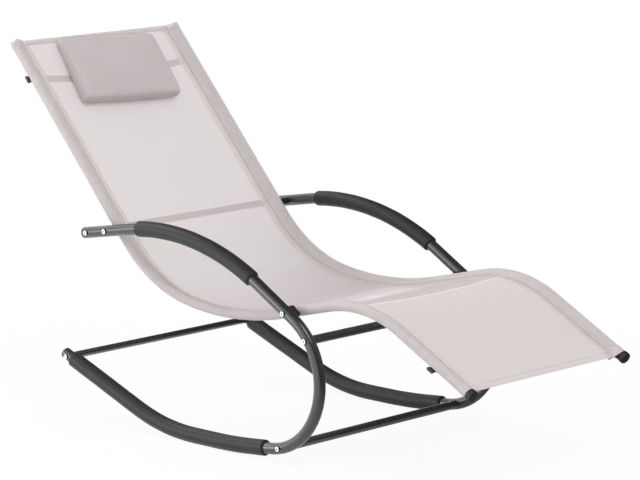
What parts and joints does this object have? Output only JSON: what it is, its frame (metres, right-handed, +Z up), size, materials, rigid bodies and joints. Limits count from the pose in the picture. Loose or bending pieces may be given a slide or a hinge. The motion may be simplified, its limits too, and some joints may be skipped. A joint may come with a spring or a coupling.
{
  "type": "rocking chaise lounge",
  "caption": "Rocking sun lounger: bent steel tube side hoops with foam sleeves, crossbars, an S-shaped stretched mesh sling on side rails and a headrest pillow.",
  "frame": {"origin": "on the floor, under the middle of the chair's bounding box", "axes": "+X towards the foot end, +Y across to the sitter's left, +Z up"},
  "size_m": [1.4004, 0.611, 0.8398],
  "materials": {
    "frame_paint": "satin",
    "foam_sleeve": "matte",
    "black_plastic": "satin",
    "plated_steel": "satin",
    "sling_mesh": "matte",
    "pillow_cloth": "matte",
    "hook_and_loop": "matte"
  },
  "bodies": {
    "chair": {"armrest_crossbar": "frame_paint", "armrest_crossbar_bolt_left": "plated_steel", "armrest_crossbar_bolt_right": "plated_steel", "armrest_crossbar_insert_left": "plated_steel", "armrest_crossbar_insert_right": "plated_steel", "armrest_plug_left": "black_plastic", "armrest_plug_right": "black_plastic", "armrest_sleeve_left": "foam_sleeve", "armrest_sleeve_right": "foam_sleeve", "foot_spreader_bar": "frame_paint", "foot_spreader_cap_left": "black_plastic", "foot_spreader_cap_right": "black_plastic", "foot_spreader_screw_left": "plated_steel", "foot_spreader_screw_right": "plated_steel", "head_spreader_bar": "frame_paint", "head_spreader_cap_left": "black_plastic", "head_spreader_cap_right": "black_plastic", "head_spreader_screw_left": "plated_steel", "head_spreader_screw_right": "plated_steel", "heel_crossbar": "frame_paint", "heel_crossbar_bolt_left": "plated_steel", "heel_crossbar_bolt_right": "plated_steel", "heel_crossbar_insert_left": "plated_steel", "heel_crossbar_insert_right": "plated_steel", "hoop_left": "frame_paint", "hoop_right": "frame_paint", "knee_crossbar": "frame_paint", "knee_crossbar_bolt_left": "plated_steel", "knee_crossbar_bolt_right": "plated_steel", "knee_crossbar_insert_left": "plated_steel", "knee_crossbar_insert_right": "plated_steel", "rail_bolt_front_left": "plated_steel", "rail_bolt_front_right": "plated_steel", "rail_bolt_rear_left": "plated_steel", "rail_bolt_rear_right": "plated_steel", "rail_foot_cap_left": "black_plastic", "rail_foot_cap_right": "black_plastic", "rail_head_plug_left": "black_plastic", "rail_head_plug_right": "black_plastic", "rail_left": "frame_paint", "rail_right": "frame_paint", "rail_spacer_front_left": "black_plastic", "rail_spacer_front_right": "black_plastic", "rail_spacer_rear_left": "black_plastic", "rail_spacer_rear_right": "black_plastic", "rocker_plug_left": "black_plastic", "rocker_plug_right": "black_plastic", "rocker_sleeve_left": "foam_sleeve", "rocker_sleeve_right": "foam_sleeve", "sling": "sling_mesh", "sling_loop_strip": "hook_and_loop", "toe_crossbar": "frame_paint", "toe_crossbar_bolt_left": "plated_steel", "toe_crossbar_bolt_right": "plated_steel", "toe_crossbar_insert_left": "plated_steel", "toe_crossbar_insert_right": "plated_steel"},
    "headrest": {"headrest_pillow": "pillow_cloth", "headrest_hook_strip": "hook_and_loop"}
  },
  "joints": [
    {"name": "headrest_slide", "type": "slide", "parent": "chair", "child": "headrest", "axis": [0.6626, 0, -0.749], "range_m": [0, 0.06]}
  ]
}
